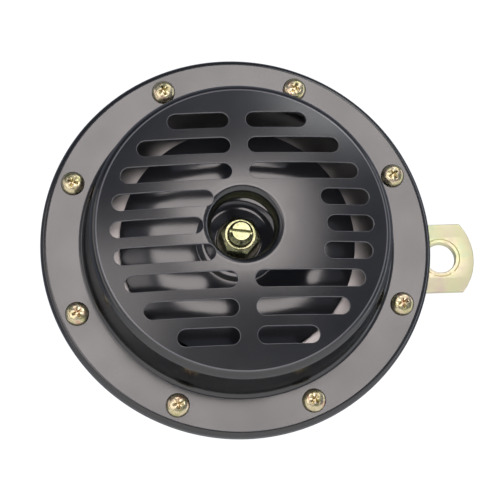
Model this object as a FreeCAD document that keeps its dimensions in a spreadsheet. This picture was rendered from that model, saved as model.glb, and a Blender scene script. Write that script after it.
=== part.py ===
import FreeCAD, Part
import math
import os
import re

import Sketcher

# A 12 V disc horn on its flat steel bracket, in millimetres, +Z up.
# It faces -Y. The origin is the centre of the bracket's mounting hole, on
# the bracket's rear face, so the horn's axis lies to the left, along -Y.
# Every piece is drawn about the horn's own axis: its local z runs towards
# whoever faces the horn, with z = 0 on the front of the flange.

os.makedirs("parts", exist_ok=True)
doc = FreeCAD.newDocument("car_horn")

# The driving sizes
size = {
    # bracket and how the horn sits on it
    "bolt_offset": 73.0,
    "seat_depth": 25.0,
    "bracket_thick": 3.0,
    "bracket_width": 24.0,
    "bracket_reach": 11.7,
    "bracket_end_round": 19.0,
    "bolt_hole": 10.5,
    "coin_inset": 1.1,
    "coin_wide": 0.6,
    "coin_deep": 0.3,
    "bracket_edge": 0.4,
    # pressed front grille
    "sheet": 0.8,
    "ring_radius": 65.0,
    "skirt": 3.6,
    "rim_round": 1.4,
    "ring_wide": 14.3,
    "foot_round": 2.0,
    "wall_draft": 1.4,
    "crown_round": 3.0,
    "dome_apex": 24.0,
    "dome_curve": 227.0,
    "lip_top": 11.6,
    "lip_low": 10.2,
    "lip_deep": 5.6,
    "lip_round": 2.0,
    # rows of slots
    "slot_wide": 5.5,
    "slot_pitch": 9.03,
    "slot_margin": 6.6,
    "slot_web": 5.6,
    "slot_near": 13.0,
    "slot_far": 27.2,
    # rim screws
    "screw_inset": 6.93,
    "screw_turn": 22.5,
    "screw_count": 8.0,
    "screw_shank": 4.0,
    "screw_length": 8.0,
    "screw_head": 7.8,
    "screw_head_tall": 2.6,
    "screw_head_round": 1.3,
    "recess_wide": 0.95,
    "recess_across": 4.4,
    "recess_deep": 1.5,
    "thread_gap": 0.03,
    "screw_hole_gap": 0.25,
    # sealed joint between cover and housing
    "gasket": 0.5,
    "seal_gap": 2.3,
    "rim_gap": 1.6,
    "diaphragm_thick": 0.4,
    # housing
    "wall": 1.2,
    "pot_radius": 35.2,
    "pot_taper": 0.6,
    "pan_depth": 6.2,
    "pot_round": 4.0,
    "tap_wall": 1.3,
    "tap_tall": 2.2,
    # stem that moves with the diaphragm
    "thread": 8.0,
    "disc_radius": 39.0,
    "disc_rim": 2.35,
    "disc_thick": 1.0,
    "disc_step": 1.05,
    "disc_rim_wide": 5.6,
    "disc_step_wide": 2.9,
    "spacer_radius": 9.0,
    "clamp_radius": 14.0,
    "clamp_thick": 1.2,
    "washer_radius": 7.5,
    "washer_thick": 1.2,
    "nut_flats": 12.0,
    "nut_tall": 6.5,
    "nut_turn": 17.0,
    "stud_out": 4.0,
    "stud_chamfer": 0.7,
    "stud_slot": 1.2,
    "stud_slot_deep": 1.6,
    "stud_turn": 8.0,
    # magnet
    "core_share": 0.25568,
    "air_gap": 1.0,
    "armature_less": 0.3,
    "armature_share": 0.3125,
    "armature_head_tall": 3.6,
    "armature_tall": 9.3,
    "pusher_share": 0.38352,
    "pusher_thick": 1.2,
    "bobbin_gap": 0.2,
    "bobbin_wall": 1.2,
    "bobbin_share": 0.56818,
    "arm_swing": 1.3,
    "coil_inset": 1.4,
    # contact breaker
    "breaker_inset": 3.5,
    "breaker_long": 6.0,
    "breaker_wide": 8.0,
    "strip_wide": 6.0,
    "moving_thick": 0.3,
    "fixed_thick": 0.8,
    "push_lap": 2.5,
    "tip_gap": 1.8,
    "contact_inset": 2.7,
    "contact_radius": 1.6,
    "contact_tall": 0.7,
    "contact_gap": 0.02,
    "push_gap": 0.5,
    "insulator_low": 1.0,
    "insulator_top": 0.8,
    "clamp_plate": 0.8,
    "breaker_screw": 3.0,
    "breaker_screw_deep": 5.0,
    "breaker_head": 5.5,
    "breaker_head_tall": 1.4,
    # outside adjuster for the fixed contact
    "adjust_inset": 1.5,
    "adjust_y": 8.0,
    "adjust_thread": 4.0,
    "adjust_out": 6.5,
    "adjust_slot": 0.8,
    "adjust_slot_deep": 1.2,
    "adjust_nut": 7.0,
    "adjust_nut_tall": 3.2,
    "ear_wide": 6.0,
    "ear_past": 3.0,
    # terminals on the back
    "block_wide": 26.0,
    "rivet_room": 2.75,
    "block_high": 11.5,
    "block_tall": 6.0,
    "block_round": 1.0,
    "tab_spread": 13.0,
    "tab_wide": 6.3,
    "tab_thick": 0.8,
    "tab_reach": 12.0,
    "tab_hole": 1.6,
    "rivet": 3.0,
    "rivet_head": 5.6,
    "rivet_head_tall": 1.2,
    # rear nut
    "lock_washer": 1.8,
    "lock_washer_radius": 7.0,
    "rear_nut_flats": 13.0,
    "rear_nut_tall": 6.5,
    "rear_stud_out": 2.2,
}
sheet = doc.addObject("Spreadsheet::Sheet", "Sizes")
for row, (alias, amount) in enumerate(size.items(), start=1):
    sheet.set("A%d" % row, alias)
    sheet.set("B%d" % row, str(amount))
    sheet.setAlias("B%d" % row, alias)
doc.recompute()


def number(text):
    """The amount that a sum of products of sizes and plain numbers comes to."""
    total = 0.0
    for term in text.replace(" ", "").replace("-", "+-").split("+"):
        if not term:
            continue
        product = -1.0 if term.startswith("-") else 1.0
        for factor in term.lstrip("-").split("*"):
            parts = factor.split("/")
            product *= size[parts[0]] if parts[0] in size else float(parts[0])
            for part in parts[1:]:
                product /= size[part] if part in size else float(part)
        total += product
    return total


def bound(text):
    """The same sum as an expression on the sheet."""
    return re.sub(r"[a-z_][a-z_0-9]*",
                  lambda m: "Sizes." + m.group(0) if m.group(0) in size else m.group(0),
                  text)


def less(first, second):
    """The first sum less the second."""
    flipped = second.replace(" ", "").replace("-", "~").replace("+", "-").replace("~", "+")
    sign = "" if flipped.startswith("+") else "-"
    return first + (sign + flipped).replace("+", " + ").replace("-", " - ")


# Levels along the axis, each a sum of named sizes
DIAPHRAGM = "-sheet - gasket"
GASKET_2 = "-sheet - gasket - diaphragm_thick"
FLANGE = "-sheet - 2*gasket - diaphragm_thick"
FLANGE_BACK = FLANGE + " - wall"
SEAT = "-seat_depth"
FLOOR = "wall - seat_depth"
BRACKET_BACK = "-seat_depth - bracket_thick"
ARMATURE_TOP = GASKET_2 + " - clamp_thick"
ARMATURE_STEP = ARMATURE_TOP + " - armature_head_tall"
ARMATURE_LOW = ARMATURE_TOP + " - armature_tall"
PUSHER_LOW = ARMATURE_STEP + " - pusher_thick"
CORE_TOP = ARMATURE_LOW + " - air_gap"
STRIP_TOP = PUSHER_LOW + " - push_gap"
STRIP_LOW = STRIP_TOP + " - moving_thick"
POST_TOP = STRIP_LOW + " - insulator_low"
FIXED_LOW = STRIP_TOP + " + 2*contact_tall + contact_gap"
FIXED_TOP = FIXED_LOW + " + fixed_thick"
PLATE_LOW = FIXED_TOP + " + insulator_top"
PLATE_TOP = PLATE_LOW + " + clamp_plate"
DISC_TOP = "disc_rim + disc_step"
DISC_LOW = "disc_rim + disc_step - disc_thick"
WASHER_TOP = DISC_TOP + " + washer_thick"
NUT_TOP = WASHER_TOP + " + nut_tall"
STUD_END = NUT_TOP + " + stud_out"
BOBBIN_TOP = STRIP_LOW + " - arm_swing"

# Radii and places across the axis, each a sum of named sizes
FOOT = "ring_radius - ring_wide"
CROWN = FOOT + " - wall_draft"
SLOT_FIELD = CROWN + " - slot_margin"
SCREW_RING = "ring_radius - screw_inset"
RIM_IN = FOOT + " + seal_gap"
RIM_OUT = "ring_radius - sheet - rim_gap"
LIP_END = "dome_apex - lip_deep"
CORE = "pot_radius*core_share"
ARMATURE = CORE + " - armature_less"
ARMATURE_HEAD = "pot_radius*armature_share"
PUSHER = "pot_radius*pusher_share"
POT_IN = "pot_radius - wall"
BOBBIN = "pot_radius*bobbin_share"
BOBBIN_HUB = CORE + " + bobbin_gap + bobbin_wall"
BREAKER_FAR = POT_IN + " - breaker_inset"
BREAKER_NEAR = BREAKER_FAR + " - breaker_long"
FIXED_TIP = PUSHER + " + tip_gap"
MOVING_TIP = PUSHER + " - push_lap"
CONTACT = FIXED_TIP + " + contact_inset"
ADJUST_X = less("0", BREAKER_NEAR + " - adjust_inset")
SCREW_X = less("0", BREAKER_FAR + " - breaker_long/2")
RIVET_Y = less("0", BOBBIN + " + rivet_room")
BLOCK_TOP = RIVET_Y + " + block_high/2"
BLOCK_LOW = RIVET_Y + " - block_high/2"
DISC_STEP_OUT = "disc_radius - disc_rim_wide"
DISC_STEP_IN = DISC_STEP_OUT + " - disc_step_wide"


def new_body(label):
    """An empty body on the horn's axis, facing -Y."""
    body = doc.addObject("PartDesign::Body", label)
    body.Label = label
    body.Placement = FreeCAD.Placement(
        FreeCAD.Vector(-number("bolt_offset"), number(BRACKET_BACK), 0),
        FreeCAD.Rotation(FreeCAD.Vector(1, 0, 0), 90))
    body.setExpression("Placement.Base.x", bound("-bolt_offset"))
    body.setExpression("Placement.Base.y", bound(BRACKET_BACK))
    return body


def new_sketch(body, role, level=None):
    """A sketch on one of the body's own origin planes, raised to a level."""
    sketch = body.newObject("Sketcher::SketchObject", body.Name + "_sketch")
    plane = [p for p in body.Origin.OriginFeatures if p.Role == role][0]
    sketch.AttachmentSupport = [(plane, "")]
    sketch.MapMode = "FlatFace"
    if level is not None:
        sketch.AttachmentOffset = FreeCAD.Placement(
            FreeCAD.Vector(0, 0, number(level)), FreeCAD.Rotation())
        sketch.setExpression("AttachmentOffset.Base.z", bound(level))
    return sketch


def tie(sketch, kind, *items):
    """Adds a constraint; the last item, a text, gives its amount."""
    where = items[:-1]
    text = items[-1]
    value = number(text)
    index = sketch.addConstraint(Sketcher.Constraint(kind, *where, value))
    sketch.setExpression("Constraints[%d]" % index, bound(text))


def pin(sketch, item, corner, x, y):
    """Fixes one point of a sketch at x, y, given as texts."""
    if x == "0":
        sketch.addConstraint(Sketcher.Constraint("PointOnObject", item, corner, -2))
    else:
        tie(sketch, "DistanceX", -1, 1, item, corner, x)
    if y is None:
        return
    if y == "0":
        sketch.addConstraint(Sketcher.Constraint("PointOnObject", item, corner, -1))
    else:
        tie(sketch, "DistanceY", -1, 1, item, corner, y)


def height(x, y):
    """A point's height, also where it lies on a dome (apex, curve)."""
    if isinstance(y, tuple):
        curve = number(y[1])
        return number(y[0]) - curve + math.sqrt(curve ** 2 - number(x) ** 2)
    return number(y)


def outline(sketch, points):
    """A closed outline through points given as texts. Two neighbours whose
    height is a dome (apex, curve) are joined by its arc about the axis."""
    place = [FreeCAD.Vector(number(x), height(x, y), 0) for x, y in points]
    ends = []
    for i, (x, y) in enumerate(points):
        j = (i + 1) % len(points)
        a, b = place[i], place[j]
        if isinstance(y, tuple) and isinstance(points[j][1], tuple):
            curve = number(y[1])
            middle = FreeCAD.Vector(0, number(y[0]) - curve, 0)
            angle = [math.atan2(p.y - middle.y, p.x) for p in (a, b)]
            circle = Part.Circle(middle, FreeCAD.Vector(0, 0, 1), curve)
            item = sketch.addGeometry(Part.ArcOfCircle(circle, min(angle), max(angle)))
            ends.append((item, (1, 2) if angle[0] < angle[1] else (2, 1)))
            sketch.addConstraint(Sketcher.Constraint("PointOnObject", item, 3, -2))
            tie(sketch, "Radius", item, y[1])
            tie(sketch, "DistanceY", -1, 1, item, 3, less(y[0], y[1]))
        else:
            item = sketch.addGeometry(Part.LineSegment(a, b))
            ends.append((item, (1, 2)))
    for i, (x, y) in enumerate(points):
        item, (first, last) = ends[i]
        after, (start, stop) = ends[(i + 1) % len(points)]
        sketch.addConstraint(Sketcher.Constraint("Coincident", item, last, after, start))
        pin(sketch, item, first, x, None if isinstance(y, tuple) else y)


def circle(sketch, x, y, radius):
    """A full circle about x, y, given as texts."""
    item = sketch.addGeometry(Part.Circle(
        FreeCAD.Vector(number(x), number(y), 0), FreeCAD.Vector(0, 0, 1), number(radius)))
    pin(sketch, item, 3, x, y)
    tie(sketch, "Radius", item, radius)


def revolve(body, points, kind="PartDesign::Revolution"):
    """Turns an outline in radius and height about the horn's axis."""
    sketch = new_sketch(body, "XZ_Plane")
    outline(sketch, points)
    feature = body.newObject(kind, body.Name + "_turned")
    feature.Profile = sketch
    feature.ReferenceAxis = (sketch, ["V_Axis"])
    feature.Angle = 360.0
    doc.recompute()
    return feature


def turned(label, points):
    """A turned or pressed round piece."""
    body = new_body(label)
    revolve(body, points)
    return body


def pad(body, sketch, length):
    """Adds material from a sketch towards +z."""
    feature = body.newObject("PartDesign::Pad", body.Name + "_pad")
    feature.Profile = sketch
    feature.Length = number(length)
    feature.setExpression("Length", bound(length))
    doc.recompute()
    return feature


def pocket(body, sketch, depth=None, upward=False):
    """Cuts a sketch away, downwards by a depth, or right through both ways."""
    before = body.Shape.Volume
    feature = body.newObject("PartDesign::Pocket", body.Name + "_cut")
    feature.Profile = sketch
    if depth is None:
        feature.Type = "ThroughAll"
        feature.Midplane = True
    else:
        feature.Length = number(depth)
        feature.setExpression("Length", bound(depth))
        feature.Reversed = upward
    doc.recompute()
    if not body.Shape.Volume < before - 1e-3:
        raise ValueError(body.Label + ": a cut removed nothing")
    return feature


def ring_edges(body, places):
    """The names of the round edges about the axis at given radii and heights."""
    base = body.Tip
    names = []
    for x, y in places:
        radius, level = number(x), height(x, y)
        found = []
        for i, edge in enumerate(base.Shape.Edges, start=1):
            curve = edge.Curve
            if not isinstance(curve, Part.Circle):
                continue
            middle = curve.Center
            if math.hypot(middle.x, middle.y) > 1e-4:
                continue
            if abs(curve.Radius - radius) < 1e-3 and abs(middle.z - level) < 1e-3:
                found.append("Edge%d" % i)
        if not found:
            raise ValueError("%s: no edge at %s, %s" % (body.Label, x, y))
        names += found
    return base, names


def fillet(body, places, radius):
    """Rounds the named ring edges."""
    base, names = ring_edges(body, places)
    feature = body.newObject("PartDesign::Fillet", body.Name + "_round")
    feature.Base = (base, names)
    feature.Radius = number(radius)
    feature.setExpression("Radius", bound(radius))
    doc.recompute()
    return feature


def chamfer(body, places, amount):
    """Chamfers the named ring edges."""
    base, names = ring_edges(body, places)
    feature = body.newObject("PartDesign::Chamfer", body.Name + "_chamfer")
    feature.Base = (base, names)
    feature.Size = number(amount)
    feature.setExpression("Size", bound(amount))
    doc.recompute()
    return feature


def around(body, features, count):
    """Repeats features evenly about the horn's axis."""
    pattern = body.newObject("PartDesign::PolarPattern", body.Name + "_pattern")
    pattern.Originals = features
    axis = [a for a in body.Origin.OriginFeatures if a.Role == "Z_Axis"][0]
    pattern.Axis = (axis, [""])
    pattern.Angle = 360.0
    pattern.Occurrences = int(number(count))
    pattern.setExpression("Occurrences", bound(count))
    body.Tip = pattern
    doc.recompute()
    return pattern


def polar_circle(sketch, ring, angle, radius):
    """A circle whose centre lies on a ring at an angle."""
    r, a = number(ring), math.radians(number(angle))
    item = sketch.addGeometry(Part.Circle(
        FreeCAD.Vector(r * math.cos(a), r * math.sin(a), 0),
        FreeCAD.Vector(0, 0, 1), number(radius)))
    for kind, amount, text in (
            ("DistanceX", r * math.cos(a), "(%s) * cos(1 deg * %s)"),
            ("DistanceY", r * math.sin(a), "(%s) * sin(1 deg * %s)")):
        index = sketch.addConstraint(Sketcher.Constraint(kind, -1, 1, item, 3, amount))
        sketch.setExpression("Constraints[%d]" % index, text % (bound(ring), bound(angle)))
    tie(sketch, "Radius", item, radius)


def rim_holes(body, gap):
    """The ring of screw holes through a flat piece of the rim."""
    sketch = new_sketch(body, "XY_Plane")
    polar_circle(sketch, SCREW_RING, "screw_turn", "screw_shank/2 + " + gap)
    hole = pocket(body, sketch)
    around(body, [hole], "screw_count")


def hexagon(sketch, flats, turn):
    """A hexagon about the sketch's origin, with a corner at the given angle."""
    across = number(flats) / math.sqrt(3.0)
    corners = []
    for k in range(6):
        a = math.radians(number(turn) + 60.0 * k)
        corners.append(FreeCAD.Vector(across * math.cos(a), across * math.sin(a), 0))
    items = [sketch.addGeometry(Part.LineSegment(corners[k], corners[(k + 1) % 6]))
             for k in range(6)]
    for k in range(6):
        sketch.addConstraint(Sketcher.Constraint("Coincident", items[k], 2, items[(k + 1) % 6], 1))
        for kind, wave, amount in (("DistanceX", "cos", corners[k].x),
                                   ("DistanceY", "sin", corners[k].y)):
            index = sketch.addConstraint(Sketcher.Constraint(kind, -1, 1, items[k], 1, amount))
            sketch.setExpression(
                "Constraints[%d]" % index,
                "%s / sqrt(3) * %s(1 deg * (%s + %d))" % (bound(flats), wave, bound(turn), 60 * k))


def nut(label, flats, turn, low, tall, thread):
    """A hexagon nut with chamfered corners and a plain bore."""
    body = new_body(label)
    sketch = new_sketch(body, "XY_Plane", low)
    hexagon(sketch, flats, turn)
    circle(sketch, "0", "0", thread + "/2 + thread_gap")
    pad(body, sketch, tall)
    # A shallow cone turned off the corners at each face
    face = flats + "/2 - " + flats + "/24"
    edge = flats + "/2 + " + flats + "/10"
    drop = flats + "/14"
    high = low + " + " + tall
    revolve(body, [(face, high), (edge, high), (edge, high + " - " + drop)],
            "PartDesign::Groove")
    revolve(body, [(face, low), (edge, low), (edge, low + " + " + drop)],
            "PartDesign::Groove")
    return body


def box_outline(sketch, x0, x1, y0, y1):
    """A rectangle between two corners given as texts."""
    outline(sketch, [(x0, y0), (x1, y0), (x1, y1), (x0, y1)])


def stack_plate(label, tip, wide, low, tall):
    """A flat strip of the breaker: from the clamped end to its tip, with the
    screw's hole through the clamped end."""
    body = new_body(label)
    sketch = new_sketch(body, "XY_Plane", low)
    box_outline(sketch, less("0", BREAKER_FAR), less("0", tip), "-" + wide + "/2", wide + "/2")
    circle(sketch, SCREW_X, "0", "breaker_screw/2 + thread_gap")
    pad(body, sketch, tall)
    return body


pieces = []

# The front grille is one pressing of sheet steel: a flat ring with a turned
# skirt, a wall, a shallow dome and a collar rolled in round the middle hole
front = new_body("front_grille")
DOME = ("dome_apex", "dome_curve")
DOME_IN = ("dome_apex - sheet", "dome_curve - sheet")
revolve(front, [
    ("lip_low", LIP_END),
    ("lip_top", DOME),
    (CROWN, DOME),
    (FOOT, "0"),
    ("ring_radius", "0"),
    ("ring_radius", "-skirt"),
    ("ring_radius - sheet", "-skirt"),
    ("ring_radius - sheet", "-sheet"),
    (FOOT + " - sheet", "-sheet"),
    (CROWN + " - sheet", DOME_IN),
    ("lip_top + sheet", DOME_IN),
    ("lip_low + sheet", LIP_END),
])
fillet(front, [(CROWN, DOME)], "crown_round")
fillet(front, [(CROWN + " - sheet", DOME_IN)], "crown_round - sheet")
fillet(front, [(FOOT, "0")], "foot_round")
fillet(front, [(FOOT + " - sheet", "-sheet")], "foot_round + sheet")
fillet(front, [("ring_radius", "0")], "rim_round")
fillet(front, [("ring_radius - sheet", "-sheet")], "rim_round - sheet")
fillet(front, [("lip_top", DOME)], "lip_round")
fillet(front, [("lip_top + sheet", DOME_IN)], "lip_round - sheet")

# Nine rows of slots. The outer ends follow one circle. The inner ends leave
# a web down the middle, or follow a circle round the hole and, on the right,
# a wider one, where the face stays closed. The rows below the middle mirror
# those above it.
def slot_end(limit, row, side):
    """Where the round end's centre lies: amount and expression."""
    if row < 2 or limit == SLOT_FIELD:
        amount = math.sqrt(number(limit) ** 2 - (row * size["slot_pitch"]) ** 2)
        text = "sqrt((%s)^2 - (%d * Sizes.slot_pitch)^2)" % (bound(limit), row)
    else:
        amount = size["slot_web"] / 2
        text = "Sizes.slot_web / 2"
    inward = -1 if limit == SLOT_FIELD else 1
    amount += inward * size["slot_wide"] / 2
    text += " %s Sizes.slot_wide / 2" % ("-" if inward < 0 else "+")
    return side * amount, ("-(%s)" if side < 0 else "%s") % text


def slot_row(row):
    """One row's two slots, cut right through the face."""
    sketch = new_sketch(front, "XY_Plane")
    up = FreeCAD.Vector(0, 0, 1)
    half = size["slot_wide"] / 2
    rise = FreeCAD.Vector(0, half, 0)
    y = row * size["slot_pitch"]
    rules = []
    for side, near in ((-1, "slot_near"), (1, "slot_far")):
        ends = sorted([slot_end(near, row, side), slot_end(SLOT_FIELD, row, side)])
        left = FreeCAD.Vector(ends[0][0], y, 0)
        right = FreeCAD.Vector(ends[1][0], y, 0)
        arc_l = sketch.addGeometry(Part.ArcOfCircle(
            Part.Circle(left, up, half), math.pi / 2, 3 * math.pi / 2))
        low = sketch.addGeometry(Part.LineSegment(left - rise, right - rise))
        arc_r = sketch.addGeometry(Part.ArcOfCircle(
            Part.Circle(right, up, half), -math.pi / 2, math.pi / 2))
        top = sketch.addGeometry(Part.LineSegment(right + rise, left + rise))
        rules += [
            (Sketcher.Constraint("Tangent", arc_l, 2, low, 1), None),
            (Sketcher.Constraint("Tangent", low, 2, arc_r, 1), None),
            (Sketcher.Constraint("Tangent", arc_r, 2, top, 1), None),
            (Sketcher.Constraint("Tangent", top, 2, arc_l, 1), None),
            (Sketcher.Constraint("Radius", arc_l, half), "Sizes.slot_wide / 2"),
        ]
        for item, (amount, text) in ((arc_l, ends[0]), (arc_r, ends[1])):
            rules.append((Sketcher.Constraint("DistanceX", -1, 1, item, 3, amount), text))
            rules.append((Sketcher.Constraint("DistanceY", -1, 1, item, 3, y),
                          "%d * Sizes.slot_pitch" % row) if row else
                         (Sketcher.Constraint("PointOnObject", item, 3, -1), None))
    sketch.addConstraint([rule for rule, text in rules])
    for index, (rule, text) in enumerate(rules):
        if text is not None:
            sketch.setExpression("Constraints[%d]" % index, text)
    return pocket(front, sketch)


slot_row(0)
# As many rows as leave a slot longer than it is wide
field = math.sqrt(number(SLOT_FIELD) ** 2 - (size["slot_web"] / 2 + 2 * size["slot_wide"]) ** 2)
upper_rows = [slot_row(row) for row in range(1, int(field / size["slot_pitch"]) + 1)]
lower_rows = front.newObject("PartDesign::Mirrored", "front_grille_mirrored")
lower_rows.Originals = upper_rows
lower_rows.MirrorPlane = (
    [p for p in front.Origin.OriginFeatures if p.Role == "XZ_Plane"][0], [""])
front.Tip = lower_rows
doc.recompute()
rim_holes(front, "screw_hole_gap")
pieces.append(front)

# Sealing rings and the diaphragm, clamped between cover and housing
for label, level in (("front_gasket", DIAPHRAGM), ("rear_gasket", FLANGE)):
    ring = turned(label, [
        (RIM_IN, level),
        (RIM_OUT, level),
        (RIM_OUT, level + " + gasket"),
        (RIM_IN, level + " + gasket"),
    ])
    rim_holes(ring, "screw_hole_gap")
    pieces.append(ring)

diaphragm = turned("diaphragm", [
    ("thread/2 + thread_gap", GASKET_2),
    (RIM_OUT, GASKET_2),
    (RIM_OUT, DIAPHRAGM),
    ("thread/2 + thread_gap", DIAPHRAGM),
])
rim_holes(diaphragm, "screw_hole_gap")
pieces.append(diaphragm)

# The housing is a drawn cup: rim, shallow pan and a deeper pot for the magnet
housing = new_body("housing")
revolve(housing, [
    ("thread/2 + screw_hole_gap", SEAT),
    ("pot_radius", SEAT),
    ("pot_radius + pot_taper", FLANGE_BACK + " - pan_depth"),
    (FOOT, FLANGE_BACK),
    (RIM_OUT, FLANGE_BACK),
    (RIM_OUT, FLANGE),
    (FOOT + " - wall/2", FLANGE),
    ("pot_radius + pot_taper - wall", FLANGE_BACK + " - pan_depth + wall/2"),
    ("pot_radius - wall", FLOOR),
    ("thread/2 + screw_hole_gap", FLOOR),
])
fillet(housing, [("pot_radius", SEAT)], "pot_round")
fillet(housing, [("pot_radius - wall", FLOOR)], "pot_round - wall")
fillet(housing, [("pot_radius + pot_taper", FLANGE_BACK + " - pan_depth")], "pot_round/2")
fillet(housing, [(FOOT, FLANGE_BACK)], "pot_round/2")
# Drawn collars give the rim screws and the adjuster their threads
collars = new_sketch(housing, "XY_Plane", FLANGE_BACK + " - tap_tall")
polar_circle(collars, SCREW_RING, "screw_turn", "screw_shank/2 + tap_wall")
collar = pad(housing, collars, "tap_tall + wall/2")
around(housing, [collar], "screw_count")
rim_holes(housing, "thread_gap")
boss = new_sketch(housing, "XY_Plane", FLOOR)
circle(boss, ADJUST_X, "-adjust_y", "adjust_thread/2 + tap_wall")
pad(housing, boss, "tap_tall")
bore = new_sketch(housing, "XY_Plane", FLOOR + " + tap_tall")
circle(bore, ADJUST_X, "-adjust_y", "adjust_thread/2 + thread_gap")
for side in ("-", ""):
    circle(bore, side + "tab_spread/2", RIVET_Y, "rivet/2 + thread_gap")
pocket(housing, bore, "tap_tall + 2*wall")
pieces.append(housing)

# The moving stem: armature, washers, tone disc, stud and nut
pieces.append(turned("clamp_washer", [
    ("thread/2 + thread_gap", ARMATURE_TOP),
    ("clamp_radius", ARMATURE_TOP),
    ("clamp_radius", GASKET_2),
    ("thread/2 + thread_gap", GASKET_2),
]))
pieces.append(turned("disc_spacer", [
    ("thread/2 + thread_gap", DIAPHRAGM),
    ("clamp_radius", DIAPHRAGM),
    ("clamp_radius", DIAPHRAGM + " + clamp_thick"),
    ("spacer_radius", DIAPHRAGM + " + clamp_thick"),
    ("spacer_radius", DISC_LOW),
    ("thread/2 + thread_gap", DISC_LOW),
]))
pieces.append(turned("tone_disc", [
    ("thread/2 + thread_gap", DISC_LOW),
    (DISC_STEP_IN, DISC_LOW),
    (DISC_STEP_OUT, "disc_rim - disc_thick"),
    ("disc_radius", "disc_rim - disc_thick"),
    ("disc_radius", "disc_rim"),
    (DISC_STEP_OUT, "disc_rim"),
    (DISC_STEP_IN, DISC_TOP),
    ("thread/2 + thread_gap", DISC_TOP),
]))
pieces.append(turned("centre_washer", [
    ("thread/2 + thread_gap", DISC_TOP),
    ("washer_radius", DISC_TOP),
    ("washer_radius", WASHER_TOP),
    ("thread/2 + thread_gap", WASHER_TOP),
]))
pieces.append(nut("centre_nut", "nut_flats", "nut_turn", WASHER_TOP, "nut_tall", "thread"))

stud = turned("centre_stud", [
    ("0", ARMATURE_LOW + " + 1"),
    ("thread/2", ARMATURE_LOW + " + 1"),
    ("thread/2", STUD_END),
    ("0", STUD_END),
])
chamfer(stud, [("thread/2", STUD_END), ("thread/2", ARMATURE_LOW + " + 1")], "stud_chamfer")
slot = new_sketch(stud, "XY_Plane", STUD_END)
tilt = math.radians(-size["stud_turn"])
reach = size["thread"]
half = size["stud_slot"] / 2
corner = []
for along, across in ((-1, -1), (1, -1), (1, 1), (-1, 1)):
    corner.append((along * reach * math.cos(tilt) - across * half * math.sin(tilt),
                   along * reach * math.sin(tilt) + across * half * math.cos(tilt)))
sides = [slot.addGeometry(Part.LineSegment(
    FreeCAD.Vector(*corner[k], 0), FreeCAD.Vector(*corner[(k + 1) % 4], 0))) for k in range(4)]
for k, (along, across) in enumerate(((-1, -1), (1, -1), (1, 1), (-1, 1))):
    slot.addConstraint(Sketcher.Constraint("Coincident", sides[k], 2, sides[(k + 1) % 4], 1))
    for kind, amount, first, second, sign in (
            ("DistanceX", corner[k][0], "cos", "sin", 1), ("DistanceY", corner[k][1], "sin", "cos", -1)):
        index = slot.addConstraint(Sketcher.Constraint(kind, -1, 1, sides[k], 1, amount))
        # the slot falls to the right, so the turn is clockwise
        one = "%d * Sizes.thread * %s(1 deg * Sizes.stud_turn)" % (along * sign, first)
        two = "%d * Sizes.stud_slot / 2 * %s(1 deg * Sizes.stud_turn)" % (across, second)
        slot.setExpression("Constraints[%d]" % index, one + " + " + two)
pocket(stud, slot, "stud_slot_deep")
pieces.append(stud)

pieces.append(turned("armature", [
    ("thread/2 + thread_gap", ARMATURE_LOW),
    (ARMATURE, ARMATURE_LOW),
    (ARMATURE, ARMATURE_STEP),
    (ARMATURE_HEAD, ARMATURE_STEP),
    (ARMATURE_HEAD, ARMATURE_TOP),
    ("thread/2 + thread_gap", ARMATURE_TOP),
]))
pieces.append(turned("pusher_ring", [
    (ARMATURE + " + thread_gap", PUSHER_LOW),
    (PUSHER, PUSHER_LOW),
    (PUSHER, ARMATURE_STEP),
    (ARMATURE + " + thread_gap", ARMATURE_STEP),
]))

# The magnet: core with its rear stud, bobbin and winding
REAR_END = BRACKET_BACK + " - lock_washer - rear_nut_tall - rear_stud_out"
core = turned("magnet_core", [
    ("0", REAR_END),
    ("thread/2", REAR_END),
    ("thread/2", FLOOR),
    (CORE, FLOOR),
    (CORE, CORE_TOP),
    ("0", CORE_TOP),
])
chamfer(core, [("thread/2", REAR_END)], "stud_chamfer")
pieces.append(core)
pieces.append(turned("coil_bobbin", [
    (CORE + " + bobbin_gap", FLOOR),
    (BOBBIN, FLOOR),
    (BOBBIN, FLOOR + " + bobbin_wall"),
    (BOBBIN_HUB, FLOOR + " + bobbin_wall"),
    (BOBBIN_HUB, BOBBIN_TOP + " - bobbin_wall"),
    (BOBBIN, BOBBIN_TOP + " - bobbin_wall"),
    (BOBBIN, BOBBIN_TOP),
    (CORE + " + bobbin_gap", BOBBIN_TOP),
]))
pieces.append(turned("coil_winding", [
    (BOBBIN_HUB, FLOOR + " + bobbin_wall"),
    (BOBBIN + " - coil_inset", FLOOR + " + bobbin_wall"),
    (BOBBIN + " - coil_inset", BOBBIN_TOP + " - bobbin_wall"),
    (BOBBIN_HUB, BOBBIN_TOP + " - bobbin_wall"),
]))

# The contact breaker beside the coil: a post, two strips kept apart by
# insulators, and one screw that clamps the stack
post = new_body("breaker_post")
sketch = new_sketch(post, "XY_Plane", FLOOR)
box_outline(sketch, less("0", BREAKER_FAR), less("0", BREAKER_NEAR),
            "-breaker_wide/2", "breaker_wide/2")
pad(post, sketch, POST_TOP + " - wall + seat_depth")
sketch = new_sketch(post, "XY_Plane", POST_TOP)
circle(sketch, SCREW_X, "0", "breaker_screw/2 + thread_gap")
pocket(post, sketch, "breaker_screw_deep + 1")
pieces.append(post)
pieces.append(stack_plate("lower_insulator", BREAKER_NEAR, "breaker_wide",
                          POST_TOP, "insulator_low"))
pieces.append(stack_plate("moving_arm", MOVING_TIP, "strip_wide", STRIP_LOW, "moving_thick"))
pieces.append(stack_plate("middle_insulator", BREAKER_NEAR, "breaker_wide",
                          STRIP_TOP, "2*contact_tall + contact_gap"))
fixed = stack_plate("fixed_arm", FIXED_TIP, "strip_wide", FIXED_LOW, "fixed_thick")
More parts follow.
